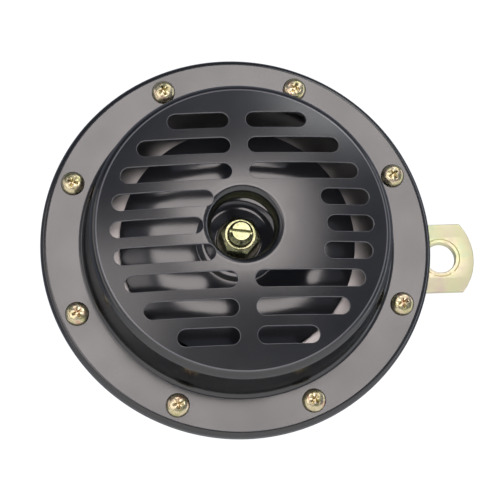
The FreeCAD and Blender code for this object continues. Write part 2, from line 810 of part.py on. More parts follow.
sketch = new_sketch(fixed, "XY_Plane", FIXED_LOW)
box_outline(sketch, ADJUST_X + " - ear_wide/2", ADJUST_X + " + ear_wide/2",
            "-adjust_y - ear_past", "-strip_wide/2 + fixed_thick")
pad(fixed, sketch, "fixed_thick")
pieces.append(fixed)
pieces.append(stack_plate("upper_insulator", BREAKER_NEAR, "breaker_wide",
                          FIXED_TOP, "insulator_top"))
pieces.append(stack_plate("clamp_plate", BREAKER_NEAR, "breaker_wide",
                          PLATE_LOW, "clamp_plate"))
for label, level in (("fixed_contact", FIXED_LOW + " - contact_tall"),
                     ("moving_contact", STRIP_TOP)):
    contact = new_body(label)
    sketch = new_sketch(contact, "XY_Plane", level)
    circle(sketch, less("0", CONTACT), "0", "contact_radius")
    pad(contact, sketch, "contact_tall")
    pieces.append(contact)


screw = new_body("breaker_screw")
sketch = new_sketch(screw, "XY_Plane", POST_TOP + " - breaker_screw_deep")
circle(sketch, SCREW_X, "0", "breaker_screw/2")
pad(screw, sketch, "breaker_screw_deep + insulator_low + moving_thick + 2*contact_tall"
    " + contact_gap + fixed_thick + insulator_top + clamp_plate")
sketch = new_sketch(screw, "XY_Plane", PLATE_TOP)
circle(sketch, SCREW_X, "0", "breaker_head/2")
pad(screw, sketch, "breaker_head_tall")
sketch = new_sketch(screw, "XY_Plane", PLATE_TOP + " + breaker_head_tall")
box_outline(sketch, SCREW_X + " - breaker_head", SCREW_X + " + breaker_head",
            "-adjust_slot/2", "adjust_slot/2")
pocket(screw, sketch, "breaker_head_tall/2")
pieces.append(screw)

# The adjusting screw reaches the fixed arm's ear from the back
adjuster = new_body("adjusting_screw")
sketch = new_sketch(adjuster, "XY_Plane", SEAT + " - adjust_out")
circle(sketch, ADJUST_X, "-adjust_y", "adjust_thread/2")
pad(adjuster, sketch, FIXED_LOW + " + seat_depth + adjust_out - contact_gap")
sketch = new_sketch(adjuster, "XY_Plane", SEAT + " - adjust_out")
box_outline(sketch, ADJUST_X + " - adjust_thread", ADJUST_X + " + adjust_thread",
            "-adjust_y - adjust_slot/2", "adjust_slot/2 - adjust_y")
pocket(adjuster, sketch, "adjust_slot_deep", upward=True)
pieces.append(adjuster)
locknut = new_body("adjusting_nut")
sketch = new_sketch(locknut, "XY_Plane", SEAT + " - adjust_nut_tall")
across = size["adjust_nut"] / math.sqrt(3.0)
corner = [FreeCAD.Vector(across * math.cos(math.radians(60 * k)) + number(ADJUST_X),
                         across * math.sin(math.radians(60 * k)) - size["adjust_y"], 0)
          for k in range(6)]
sides = [sketch.addGeometry(Part.LineSegment(corner[k], corner[(k + 1) % 6])) for k in range(6)]
for k in range(6):
    sketch.addConstraint(Sketcher.Constraint("Coincident", sides[k], 2, sides[(k + 1) % 6], 1))
    for kind, wave, amount, place in (("DistanceX", "cos", corner[k].x, ADJUST_X),
                                      ("DistanceY", "sin", corner[k].y, "-adjust_y")):
        index = sketch.addConstraint(Sketcher.Constraint(kind, -1, 1, sides[k], 1, amount))
        sketch.setExpression(
            "Constraints[%d]" % index,
            "Sizes.adjust_nut / sqrt(3) * %s(%d deg) + (%s)" % (wave, 60 * k, bound(place)))
circle(sketch, ADJUST_X, "-adjust_y", "adjust_thread/2 + thread_gap")
pad(locknut, sketch, "adjust_nut_tall")
pieces.append(locknut)

# The terminal block on the back, below the bracket
block = new_body("terminal_block")
sketch = new_sketch(block, "XY_Plane", SEAT + " - block_tall")
box_outline(sketch, "-block_wide/2", "block_wide/2", BLOCK_LOW, BLOCK_TOP)
for side in ("-", ""):
    circle(sketch, side + "tab_spread/2", RIVET_Y, "rivet/2 + thread_gap")
solid = pad(block, sketch, "block_tall")
upright = [i for i, e in enumerate(solid.Shape.Edges, start=1)
           if isinstance(e.Curve, Part.Line) and e.BoundBox.ZLength > 1]
edge = block.newObject("PartDesign::Fillet", "terminal_block_round")
edge.Base = (solid, ["Edge%d" % i for i in upright])
edge.Radius = size["block_round"]
edge.setExpression("Radius", "Sizes.block_round")
doc.recompute()
pieces.append(block)
TAB_TOP = SEAT + " - block_tall"
for side, label in (("-", "terminal_tab_left"), ("", "terminal_tab_right")):
    tab = new_body(label)
    middle = side + "tab_spread/2"
    sketch = new_sketch(tab, "XY_Plane", TAB_TOP + " - tab_thick")
    box_outline(sketch, middle + " - tab_wide/2", middle + " + tab_wide/2",
                RIVET_Y + " - tab_reach", RIVET_Y + " + tab_wide/2")
    circle(sketch, middle, RIVET_Y, "rivet/2 + thread_gap")
    circle(sketch, middle, RIVET_Y + " - tab_reach + tab_wide/2", "tab_hole/2")
    pad(tab, sketch, "tab_thick")
    pieces.append(tab)
rivets = new_body("terminal_rivets")
rivets.AllowCompound = True
for level, alias, tall in (
        (TAB_TOP + " - tab_thick - rivet_head_tall", "rivet_head/2", "rivet_head_tall"),
        (TAB_TOP + " - tab_thick", "rivet/2", "tab_thick + block_tall + wall"),
        (FLOOR, "rivet_head/2", "rivet_head_tall")):
    sketch = new_sketch(rivets, "XY_Plane", level)
    for side in ("-", ""):
        circle(sketch, side + "tab_spread/2", RIVET_Y, alias)
    pad(rivets, sketch, tall)
pieces.append(rivets)

# The bracket: one flat bar with a coined ring round its mounting hole
bracket = new_body("bracket")
sketch = new_sketch(bracket, "XY_Plane", BRACKET_BACK)
half = size["bracket_width"] / 2
tip = size["bolt_offset"] + size["bracket_reach"]
bend = size["bracket_end_round"]
shoulder = tip - bend + math.sqrt(bend ** 2 - half ** 2)
up = FreeCAD.Vector(0, 0, 1)
lean = math.asin(half / bend)
near_end = sketch.addGeometry(Part.ArcOfCircle(
    Part.Circle(FreeCAD.Vector(0, 0, 0), up, half), math.pi / 2, 3 * math.pi / 2))
low_side = sketch.addGeometry(Part.LineSegment(
    FreeCAD.Vector(0, -half, 0), FreeCAD.Vector(shoulder, -half, 0)))
far_end = sketch.addGeometry(Part.ArcOfCircle(
    Part.Circle(FreeCAD.Vector(tip - bend, 0, 0), up, bend), -lean, lean))
top_side = sketch.addGeometry(Part.LineSegment(
    FreeCAD.Vector(shoulder, half, 0), FreeCAD.Vector(0, half, 0)))
sketch.addConstraint([
    Sketcher.Constraint("Tangent", near_end, 2, low_side, 1),
    Sketcher.Constraint("Coincident", low_side, 2, far_end, 1),
    Sketcher.Constraint("Coincident", far_end, 2, top_side, 1),
    Sketcher.Constraint("Tangent", top_side, 2, near_end, 1),
    Sketcher.Constraint("Coincident", near_end, 3, -1, 1),
    Sketcher.Constraint("Horizontal", low_side),
    Sketcher.Constraint("PointOnObject", far_end, 3, -1),
])
tie(sketch, "Radius", near_end, "bracket_width/2")
tie(sketch, "Radius", far_end, "bracket_end_round")
tie(sketch, "DistanceX", -1, 1, far_end, 3, "bolt_offset + bracket_reach - bracket_end_round")
circle(sketch, "0", "0", "thread/2 + screw_hole_gap")
circle(sketch, "bolt_offset", "0", "bolt_hole/2")
plate = pad(bracket, sketch, "bracket_thick")
rounded = [i for i, e in enumerate(plate.Shape.Edges, start=1)
           if abs(e.BoundBox.ZLength) < 1e-6 and e.BoundBox.YLength + e.BoundBox.XLength > number("2*bolt_hole - wall")
           and abs(e.BoundBox.ZMin - number(SEAT)) < 1e-6]
edge = bracket.newObject("PartDesign::Fillet", "bracket_round")
edge.Base = (plate, ["Edge%d" % i for i in rounded])
edge.Radius = size["bracket_edge"]
edge.setExpression("Radius", "Sizes.bracket_edge")
doc.recompute()
sketch = new_sketch(bracket, "XY_Plane", SEAT)
circle(sketch, "bolt_offset", "0", "bolt_hole/2 + coin_inset - coin_wide/2")
circle(sketch, "bolt_offset", "0", "bolt_hole/2 + coin_inset + coin_wide/2")
pocket(bracket, sketch, "coin_deep")
pieces.append(bracket)

# Spring washer and nut on the core's rear stud
washer = turned("lock_washer", [
    ("thread/2 + thread_gap", BRACKET_BACK + " - lock_washer"),
    ("lock_washer_radius", BRACKET_BACK + " - lock_washer"),
    ("lock_washer_radius", BRACKET_BACK),
    ("thread/2 + thread_gap", BRACKET_BACK),
])
pieces.append(washer)
pieces.append(nut("bracket_nut", "rear_nut_flats", "nut_turn",
                  BRACKET_BACK + " - lock_washer - rear_nut_tall", "rear_nut_tall", "thread"))

# Eight rim screws: pan heads with a cross recess, in one group
screws = new_body("rim_screws")
screws.AllowCompound = True
sketch = new_sketch(screws, "XY_Plane", "-screw_length")
polar_circle(sketch, SCREW_RING, "screw_turn", "screw_shank/2")
pad(screws, sketch, "screw_length")
sketch = new_sketch(screws, "XY_Plane")
polar_circle(sketch, SCREW_RING, "screw_turn", "screw_head/2")
pad(screws, sketch, "screw_head_tall")
top = [i for i, e in enumerate(screws.Tip.Shape.Edges, start=1)
       if isinstance(e.Curve, Part.Circle) and abs(e.Curve.Center.z - size["screw_head_tall"]) < 1e-6]
head = screws.Tip
round_top = screws.newObject("PartDesign::Fillet", "rim_screws_round")
round_top.Base = (head, ["Edge%d" % i for i in top])
round_top.Radius = size["screw_head_round"]
round_top.setExpression("Radius", "Sizes.screw_head_round")
doc.recompute()
cross = new_sketch(screws, "XY_Plane", "screw_head_tall")
angle = math.radians(size["screw_turn"])
centre = (number(SCREW_RING) * math.cos(angle), number(SCREW_RING) * math.sin(angle))
short, far = "recess_wide/2", "recess_across/2"
cross_points = [(far, "-" + short), (far, short), (short, short), (short, far),
                ("-" + short, far), ("-" + short, short), ("-" + far, short),
                ("-" + far, "-" + short), ("-" + short, "-" + short), ("-" + short, "-" + far),
                (short, "-" + far), (short, "-" + short)]
spots = [FreeCAD.Vector(centre[0] + number(x), centre[1] + number(y), 0) for x, y in cross_points]
sides = [cross.addGeometry(Part.LineSegment(spots[k], spots[(k + 1) % 12])) for k in range(12)]
for k, (x, y) in enumerate(cross_points):
    cross.addConstraint(Sketcher.Constraint("Coincident", sides[k], 2, sides[(k + 1) % 12], 1))
    for kind, wave, amount, text in (("DistanceX", "cos", spots[k].x, x),
                                     ("DistanceY", "sin", spots[k].y, y)):
        index = cross.addConstraint(Sketcher.Constraint(kind, -1, 1, sides[k], 1, amount))
        cross.setExpression(
            "Constraints[%d]" % index,
            "(%s) * %s(1 deg * Sizes.screw_turn) + %s" % (bound(SCREW_RING), wave, bound(text)))
pocket(screws, cross, "recess_deep")
whole = screws.newObject("PartDesign::PolarPattern", "rim_screws_pattern")
whole.TransformMode = "Whole shape"
axis = [a for a in screws.Origin.OriginFeatures if a.Role == "Z_Axis"][0]
whole.Axis = (axis, [""])
whole.Angle = 360.0
whole.Occurrences = int(size["screw_count"])
whole.setExpression("Occurrences", "Sizes.screw_count")
screws.Tip = whole
pieces.append(screws)

doc.recompute()

# Nothing is written until every object and every shape is sound
for item in doc.Objects:
    if "Invalid" in item.State or "Error" in item.State:
        raise ValueError("%s is not sound: %s" % (item.Label, item.State))
for piece in pieces:
    if piece.Shape.isNull() or not piece.Shape.isValid():
        raise ValueError(piece.Label + " has no valid shape")
for piece in pieces:
    piece.Shape.exportStep("parts/%s.step" % piece.Label)
    print(piece.Label, len(piece.Shape.Solids), round(piece.Shape.Volume, 1))
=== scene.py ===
import math

import bmesh
import bpy
from mathutils import Matrix, Vector


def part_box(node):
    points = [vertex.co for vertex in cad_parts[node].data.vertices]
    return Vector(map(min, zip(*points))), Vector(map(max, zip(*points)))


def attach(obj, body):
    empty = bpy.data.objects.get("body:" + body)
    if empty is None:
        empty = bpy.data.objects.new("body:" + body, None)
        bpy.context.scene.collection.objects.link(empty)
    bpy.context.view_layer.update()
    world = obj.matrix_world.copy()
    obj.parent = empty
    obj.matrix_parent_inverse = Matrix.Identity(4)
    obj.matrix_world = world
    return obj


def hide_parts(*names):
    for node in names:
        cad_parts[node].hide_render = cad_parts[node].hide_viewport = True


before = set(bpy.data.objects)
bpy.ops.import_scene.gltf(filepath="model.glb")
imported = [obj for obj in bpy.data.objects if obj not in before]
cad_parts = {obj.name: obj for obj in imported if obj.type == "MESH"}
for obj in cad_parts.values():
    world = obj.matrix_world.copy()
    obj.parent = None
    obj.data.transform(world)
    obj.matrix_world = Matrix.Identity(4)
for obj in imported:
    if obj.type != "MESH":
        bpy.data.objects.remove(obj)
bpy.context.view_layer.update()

# The studio
# The horn hangs in front of a white sweep, above a pale floor. The camera
# looks up at it from a little below and left of its axis; its lens and place
# are fitted to the outline, the screws and the slots.
camera = bpy.data.objects.new("camera", bpy.data.cameras.new("camera"))
camera.data.sensor_width = 36.0
camera.data.lens = 147.1
camera.data.clip_start = 0.02
camera.matrix_world = Matrix(((0.9941, 0.0275, -0.1046, -0.1397),
                              (-0.0934, -0.27, -0.9583, -0.6763),
                              (-0.0546, 0.9625, -0.2658, -0.1821),
                              (0, 0, 0, 1)))
bpy.context.scene.collection.objects.link(camera)
bpy.context.scene.camera = camera
bpy.context.scene.view_settings.view_transform = "Standard"


def colour(code):
    """An sRGB hex value as linear red, green, blue and alpha."""
    parts = [int(code[k:k + 2], 16) / 255 for k in (1, 3, 5)]
    return [p / 12.92 if p <= 0.04045 else ((p + 0.055) / 1.055) ** 2.4 for p in parts] + [1.0]


def add_node(tree, kind, settings=(), **inputs):
    """A node with its settings, and its inputs as amounts or as links."""
    node = tree.nodes.new(kind)
    for key, amount in dict(settings).items():
        setattr(node, key, amount)
    for key, amount in inputs.items():
        place = int(key[1:]) if key[1:].isdigit() else key.replace("_", " ")
        if isinstance(amount, bpy.types.NodeSocket):
            tree.links.new(amount, node.inputs[place])
        else:
            node.inputs[place].default_value = amount
    return node


# The room's light differs by direction. In front, behind the camera, it is dim
# but for a ring of light some 45 degrees off the axis, and it is brighter at
# the sides and behind. The camera itself sees the white sweep all round.
studio = bpy.data.worlds.new("studio")
studio.use_nodes = True
bpy.context.scene.world = studio
air = studio.node_tree
air.nodes.clear()
seen = add_node(air, "ShaderNodeLightPath")
direction = add_node(air, "ShaderNodeTexCoord")
heading = add_node(air, "ShaderNodeSeparateXYZ", Vector=direction.outputs["Object"])
turned_off = add_node(air, "ShaderNodeMapRange", Value=heading.outputs["Y"], i1=-1.0, i2=0.0)
room = add_node(air, "ShaderNodeValToRGB", Fac=turned_off.outputs[0])
stops = room.color_ramp.elements
for place, level in ((0.0, 0.25), (0.22, 0.25), (0.28, 0.6), (0.33, 0.6),
                     (0.38, 0.11), (0.80, 0.11), (1.0, 0.42)):
    stop = stops[0] if place == 0.0 else stops[-1] if place == 1.0 else stops.new(place)
    stop.color = (level, level, level, 1.0)
fill = add_node(air, "ShaderNodeBackground", Color=colour("#ccd4e6"), Strength=room.outputs[0])
backdrop = add_node(air, "ShaderNodeBackground", Color=colour("#ffffff"), Strength=1.05)
around = add_node(air, "ShaderNodeMixShader", i0=seen.outputs["Is Camera Ray"],
                  i1=fill.outputs[0], i2=backdrop.outputs[0])
add_node(air, "ShaderNodeOutputWorld", Surface=around.outputs[0])


def soft_light(name, wide, tall, brightness, place):
    """A rectangular lamp, as bright over its face whatever its size."""
    lamp = bpy.data.lights.new(name, "AREA")
    lamp.shape = "RECTANGLE"
    lamp.size, lamp.size_y = wide, tall
    lamp.energy = brightness * math.pi * wide * tall
    box = bpy.data.objects.new(name, lamp)
    box.matrix_world = place
    box.visible_camera = False
    bpy.context.scene.collection.objects.link(box)
    return box


# Five soft boxes, each by its direction from the horn and its spread, both in
# degrees across and up, then by its distance in metres and its brightness
horn_middle = Vector((-0.073, -0.028, 0.0))
for name, across, up, wide, tall, reach, glow, tint in (
        ("key_box", 5.6, 16.33, 24.0, 21.0, 2.0, 3.9, "#fff6f4"),
        ("left_box", -24.0, 0.91, 25.0, 26.0, 1.3, 1.6, "#fff6f4"),
        ("side_box", -62.0, 6.0, 18.0, 50.0, 1.3, 1.15, "#fff8f4"),
        ("top_box", 34.0, 41.64, 24.0, 16.0, 1.6, 2.0, "#ffffff"),
        ("right_box", 76.0, 8.0, 16.0, 60.0, 1.3, 1.6, "#f4f8ff")):
    side, rise = math.radians(across), math.tan(math.radians(up))
    towards = Vector((math.sin(side), -math.cos(side), rise)).normalized()
    box = soft_light(name, 2 * reach * math.tan(math.radians(wide / 2)),
                     2 * reach * math.tan(math.radians(tall / 2)), glow,
                     Matrix.Translation(horn_middle + towards * reach)
                     @ towards.to_track_quat("Z", "Y").to_matrix().to_4x4())
    box.data.color = colour(tint)[:3]

# A wide sheet of light overhead lights the floor, and the horn doesn't mirror it
overhead = soft_light("overhead_sheet", 5.0, 5.0, 0.7, Matrix.Translation((-0.07, 0.1, 1.35)))
overhead.visible_glossy = False


def new_finish(name):
    """A material, its node tree, its shader and its object coordinates."""
    finish = bpy.data.materials.new(name)
    finish.use_nodes = True
    tree = finish.node_tree
    spot = add_node(tree, "ShaderNodeTexCoord").outputs["Object"]
    return finish, tree, tree.nodes["Principled BSDF"], spot


# The floor is a wide round of matt studio paper, which shows only a faint
# mottle of its fibres, some 3 mm across
sheet_of_paper = bmesh.new()
bmesh.ops.create_circle(sheet_of_paper, cap_ends=True, segments=96, radius=2.2,
                        matrix=Matrix.Translation((-0.07, 0.0, -0.6)))
floor_mesh = bpy.data.meshes.new("floor")
sheet_of_paper.to_mesh(floor_mesh)
sheet_of_paper.free()
paper, tree, shader, spot = new_finish("matt_studio_paper")
shader.inputs["Roughness"].default_value = 0.9
fibres = add_node(tree, "ShaderNodeTexNoise", Vector=spot, Scale=300.0)
tone = add_node(tree, "ShaderNodeMix", {"data_type": "RGBA"}, i0=fibres.outputs["Fac"],
                i6=colour("#efeeeb"), i7=colour("#f6f5f2"))
tree.links.new(tone.outputs[2], shader.inputs["Base Color"])
floor_mesh.materials.append(paper)
floor = bpy.data.objects.new("floor", floor_mesh)
bpy.context.scene.collection.objects.link(floor)

# Cover
# One sheet of 0.8 mm steel, pressed and stoved black: a flat flange, a low
# dome with nine rows of punched slots, and a middle hole whose edge is rolled
# in. All its bends are round, as a press leaves them.
sheet = 0.8
dome_top, dome_curve = 24.0, 227.0
hole_edge, lip_start, plate_edge = 12.0, 16.0, 44.3
slot_pitch, slot_half, half_web, punch_round = 9.03, 2.75, 2.8, 0.2
slots_end, left_patch, right_patch = 42.7, 13.0, 27.2
# the band over the crown that gets a painted highlight line
crown_line = (46.95, 47.3)
# two places count as one when they are nearer than this
near, hair = 0.05, 0.01
# everything on the horn's axis is shaped in millimetres with z towards the
# front and z 0 on the flange's face, and then put in its place
horn_place = (Matrix.Translation(horn_middle) @ Matrix.Rotation(math.pi / 2, 4, "X")
              @ Matrix.Scale(0.001, 4))


def rounded(corners, turn):
    """A line through corners of (across, height, radius), each one rounded."""
    line = []
    for k, (across, up, radius) in enumerate(corners):
        here = Vector((across, up))
        if not radius:
            line.append(here)
            continue
        back = (Vector(corners[k - 1][:2]) - here).normalized()
        ahead = (Vector(corners[(k + 1) % len(corners)][:2]) - here).normalized()
        half = back.angle(ahead) / 2
        centre = here + (back + ahead).normalized() * radius / math.sin(half)
        first = (here + back * radius / math.tan(half) - centre).normalized()
        last = (here + ahead * radius / math.tan(half) - centre).normalized()
        steps = max(3, round(math.degrees(math.pi - 2 * half) / turn))
        line += [centre + radius * first.slerp(last, s / steps) for s in range(steps + 1)]
    return line


def dome(across, under=0.0):
    """Height of the dome's face, or of a face that lies under it."""
    return dome_top - dome_curve + math.sqrt((dome_curve - under) ** 2 - across ** 2)


def height_at(line, across):
    """Height where a line reaches a distance from the axis."""
    for one, two in zip(line, line[1:]):
        if min(one[0], two[0]) <= across <= max(one[0], two[0]) and one[0] != two[0]:
            return one[1] + (two[1] - one[1]) * (across - one[0]) / (two[0] - one[0])
    return None


def flat_blank(name, thick, edge_round, steps):
    """A flat filled curve whose edges are rounded, as a press blanks sheet."""
    blank = bpy.data.curves.new(name, "CURVE")
    blank.dimensions = "2D"
    blank.fill_mode = "BOTH"
    blank.extrude = thick / 2 - edge_round
    blank.bevel_depth = edge_round
    blank.bevel_resolution = steps
    return blank


def outline(blank, points):
    """Adds one closed edge to a blank."""
    edge = blank.splines.new("POLY")
    edge.points.add(len(points) - 1)
    for point, (x, y) in zip(edge.points, points):
        point.co = (x, y, 0, 1)
    edge.use_cyclic_u = True


def arc(x, y, radius, first, last, steps):
    """Points on an arc between two angles in degrees, both ends among them."""
    angles = [math.radians(first + (last - first) * k / steps) for k in range(steps + 1)]
    return [(x + radius * math.cos(a), y + radius * math.sin(a)) for a in angles]


def blank_shape(blank):
    """The mesh of a blank."""
    pattern = bpy.data.objects.new(blank.name, blank)
    bpy.context.scene.collection.objects.link(pattern)
    flat = bpy.data.meshes.new_from_object(pattern)
    bpy.data.objects.remove(pattern)
    shape = bmesh.new()
    shape.from_mesh(flat)
    bpy.data.meshes.remove(flat)
    bmesh.ops.remove_doubles(shape, verts=shape.verts, dist=1e-4)
    return shape


def grid_cut(shape, pitch, shift, count, reach=None):
    """Cuts faces along a square grid, all of them or those within a reach."""
    for k in range(-count, count + 1):
        for axis in (0, 1):
            where, across = Vector(), Vector()
            where[axis], across[axis] = k * pitch + shift, 1.0
            parts = shape.verts[:] + shape.edges[:] + shape.faces[:]
            if reach:
                inner = [f for f in shape.faces
                         if all(math.hypot(*v.co.xy) < reach for v in f.verts)]
                parts = list(dict.fromkeys(g for f in inner for g in (f, *f.edges, *f.verts)))
            bmesh.ops.bisect_plane(shape, geom=parts, dist=1e-5, plane_co=where, plane_no=across)


def carry_on(shape, level, radius, line):
    """Draws the open edge at a level and radius out along a line."""
    edges = [e for e in shape.edges if e.is_boundary
             and all(abs(math.hypot(*v.co.xy) - radius) < 2 * hair
                     and abs(v.co.z - level) < 2 * hair for v in e.verts)]
    for across, up in line:
        made = bmesh.ops.extrude_edge_only(shape, edges=edges)["geom"]
        new = {g for g in made if isinstance(g, bmesh.types.BMVert)}
        edges = [g for g in made if isinstance(g, bmesh.types.BMEdge) and new.issuperset(g.verts)]
        for v in new:
            v.co = Vector((v.co.x * across / radius, v.co.y * across / radius, 0.0))
            v.co.z = up(math.hypot(v.co.x, v.co.y)) if callable(up) else up
        radius = across


# the face with its slots is first a flat punched blank
blank = flat_blank("cover_blank", sheet, punch_round, 1)
outline(blank, arc(0, 0, plate_edge, 0, 360, 256)[:-1])
outline(blank, arc(0, 0, hole_edge, 0, 360, 128)[:-1])
for row in range(-4, 5):
    # the three middle rows stop short of the free patches round the hole
    y = row * slot_pitch
    for side, patch in ((-1, left_patch), (1, right_patch)):
        inner = math.sqrt(patch ** 2 - y ** 2) if abs(row) < 2 else half_web
        outer = math.sqrt(slots_end ** 2 - y ** 2)
        low, high = sorted((side * (inner + slot_half), side * (outer - slot_half)))
        wide = slot_half + punch_round
        outline(blank, arc(high, y, wide, -90, 90, 14) + arc(low, y, wide, 90, 270, 14))
cover = blank_shape(blank)
# its two outer edges are opened, to join the flange and the rolled hole
bmesh.ops.delete(cover, context="FACES", geom=[
    f for f in cover.faces if abs(f.normal.z) < 0.98 and (
        all(math.hypot(*v.co.xy) > plate_edge - near for v in f.verts)
        or all(math.hypot(*v.co.xy) < hole_edge + 2 * hair for v in f.verts))])
# it gets enough faces for the dome, and finer ones for the lip, and is pressed
grid_cut(cover, 2.5, 0.31, 17)
grid_cut(cover, 0.75, 0.17, 20, lip_start)
lip_face = rounded([(lip_start, dome(lip_start), 0), (11.6, dome(11.6), 2.3),
                    (10.2, 18.4, 0)], turn=4)
lip_back = rounded([(lip_start, dome(lip_start, sheet), 0), (12.4, dome(12.4, sheet), 1.5),
                    (11.0, 18.4, 0)], turn=4)
for v in cover.verts:
    r = math.hypot(v.co.x, v.co.y)
    face, back = dome(r), dome(r, sheet)
    if r < lip_start:
        face, back = height_at(lip_face, r), height_at(lip_back, r)
    v.co.z = back + (face - back) * (v.co.z + sheet / 2) / sheet
# the dome's edge goes on over the crown, down the wall and out to the rim,
# and back under it; the hole's edge rolls in and back the same way
carry_on(cover, dome(plate_edge), plate_edge, rounded([
    (44.6, dome(44.6), 0), (46.9, dome(46.9), 0), (49.3, dome(49.3), 3.0), (50.7, 0.0, 2.0),
    (65.0, 0.0, 2.0), (65.0, -3.6, 0.15), (64.2, -3.6, 0.15), (64.2, -0.8, 0.6),
    (49.9, -0.8, 2.8), (48.5, dome(48.5, sheet), 2.2), (44.6, dome(44.6, sheet), 0)], turn=10)
    + [(plate_edge, lambda r: dome(r, sheet))])
carry_on(cover, height_at(lip_face, hole_edge), hole_edge,
         [p for p in lip_face if p[0] < hole_edge - near]
         + [p for p in lip_back[::-1] if p[0] < hole_edge - near]
         + [(hole_edge, lambda r: height_at(lip_back, r))])
open_edges = [e for e in cover.edges if e.is_boundary]
bmesh.ops.remove_doubles(cover, dist=0.001, verts=list({v for e in open_edges for v in e.verts}))
bmesh.ops.recalc_face_normals(cover, faces=cover.faces)
cover.normal_update()
# the dome's and the lip's normals are the true ones, so that they shine evenly
# between the slots; elsewhere the large faces lead. A painted highlight, a pale
# grey in the base colour, lies on the punched edges and on the crown's sharpest line.
dome_centre = Vector((0, 0, dome_top - dome_curve))
normals, thin = [], []
for v in cover.verts:
    r = math.hypot(v.co.x, v.co.y)
    punched = hole_edge + near < r < plate_edge - near
    face = height_at(lip_face, r) if punched and r < lip_start else dome(r)
    # the punched edges' walls get a full painted highlight, the crown's line most of one
    if punched and 0.03 < face - v.co.z < sheet - 0.03:
        thin.append(1.0)
    else:
        thin.append(0.9 if crown_line[0] < r < crown_line[1] and v.co.z > dome(r) - 0.6 else 0.0)
    lip = None
    if hole_edge + near < r < lip_start - 0.3:
        lip = next((line for line in (lip_face, lip_back)
                    if abs(v.co.z - height_at(line, r)) < hair), None)
    if lip:
        slope = (height_at(lip, r + 0.2) - height_at(lip, r - 0.2)) / 0.4
        way = Vector((-slope * v.co.x / r, -slope * v.co.y / r, 1.0))
        way *= 1 if lip is lip_face else -1
    elif 13.4 < r < 45.0 and abs(v.co.z - dome(r)) < hair:
        way = v.co - dome_centre
    elif 13.4 < r < 45.0 and abs(v.co.z - dome(r, sheet)) < hair:
        way = dome_centre - v.co
    else:
        way = sum((f.normal * f.calc_area() for f in v.link_faces), Vector())
    normals.append((horn_place.to_3x3() @ way).normalized())


def black_enamel(name, ior, glossy, dull, thick_film, thin_film):
    """Enamel sprayed on pressed steel and baked: a thin black film, glossy to
    semi-gloss, with a faint orange peel and a speck of dust here and there."""
    enamel, tree, shader, spot = new_finish(name)
    shader.inputs["Metallic"].default_value = 0.0
    # it mirrors more than the 1.5 of plain enamel, as the bright flange shows
    shader.inputs["IOR"].default_value = ior
    # broad clouds, about 20 mm across, where the film is thicker or thinner
    clouds = add_node(tree, "ShaderNodeTexNoise", Vector=spot, Scale=50.0, Detail=3.0)
    film = add_node(tree, "ShaderNodeMix", {"data_type": "RGBA"}, i0=clouds.outputs["Fac"],
                    i6=colour(thick_film), i7=colour(thin_film))
    gloss = add_node(tree, "ShaderNodeMapRange", Value=clouds.outputs["Fac"],
                     i1=0.3, i2=0.7, i3=glossy, i4=dull)
    tree.links.new(gloss.outputs[0], shader.inputs["Roughness"])
    # specks of dust, 0.3 mm across and some 20 mm apart
    dust = add_node(tree, "ShaderNodeTexVoronoi", Vector=spot, Scale=52.0)
    speck = add_node(tree, "ShaderNodeMapRange", {"interpolation_type": "SMOOTHSTEP"},
                     Value=dust.outputs["Distance"], i1=0.022, i2=0.010, i3=0.0, i4=0.8)
    # painted highlight: pale grey in the base colour on the punched edges and the crown
    edge_highlight = add_node(tree, "ShaderNodeAttribute", {"attribute_name": "painted_edge_highlight"})
    pale = add_node(tree, "ShaderNodeMath", {"operation": "MAXIMUM"},
                    i0=edge_highlight.outputs["Fac"], i1=speck.outputs[0])
    film_highlight_and_dust = add_node(tree, "ShaderNodeMix", {"data_type": "RGBA"}, i0=pale.outputs[0],
                    i6=film.outputs[2], i7=colour("#78787d"))
    tree.links.new(film_highlight_and_dust.outputs[2], shader.inputs["Base Color"])
    # orange peel of about 1.5 mm, with the specks standing up from it
    peel = add_node(tree, "ShaderNodeTexNoise", Vector=spot, Scale=650.0, Detail=1.0)
    height = add_node(tree, "ShaderNodeMath", {"operation": "MULTIPLY_ADD"},
                      i0=speck.outputs[0], i1=8.75, i2=peel.outputs["Fac"])
    relief = add_node(tree, "ShaderNodeBump", Height=height.outputs[0], Strength=0.25,
                      Distance=0.00002)
    tree.links.new(relief.outputs[0], shader.inputs["Normal"])
    return enamel


def make(name, shape, finish):
    """An object of the shape, put in its place on the horn."""
    bmesh.ops.transform(shape, matrix=horn_place, verts=shape.verts)
    mesh = bpy.data.meshes.new(name)
    shape.to_mesh(mesh)
    shape.free()
    mesh.materials.append(finish)
    mesh.shade_smooth()
    piece = bpy.data.objects.new(name, mesh)
    bpy.context.scene.collection.objects.link(piece)
    return piece


# a semi-gloss black, in which the lights blur into soft patches
stoving_enamel = black_enamel("black_stoving_enamel", 1.9, 0.20, 0.26, "#0b0c0f", "#121316")
pressed_cover = make("pressed_cover", cover, stoving_enamel)
pressed_cover.data.normals_split_custom_set_from_vertices(normals)
# a layer that marks the painted highlight on the punched edges and the crown
painted = pressed_cover.data.attributes.new("painted_edge_highlight", "FLOAT", "POINT")
painted.data.foreach_set("value", thin)
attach(pressed_cover, "horn")
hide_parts("front_grille")

# Rim screws
# Eight M4 pan-head screws of plated steel hold the cover, both gaskets and
# the diaphragm on the housing. Each has stopped at its own turn.
screw_circle, first_screw = 58.07, 22.5
screw_turns = (38, 62, 18, 70, 25, 8, 48, 12)


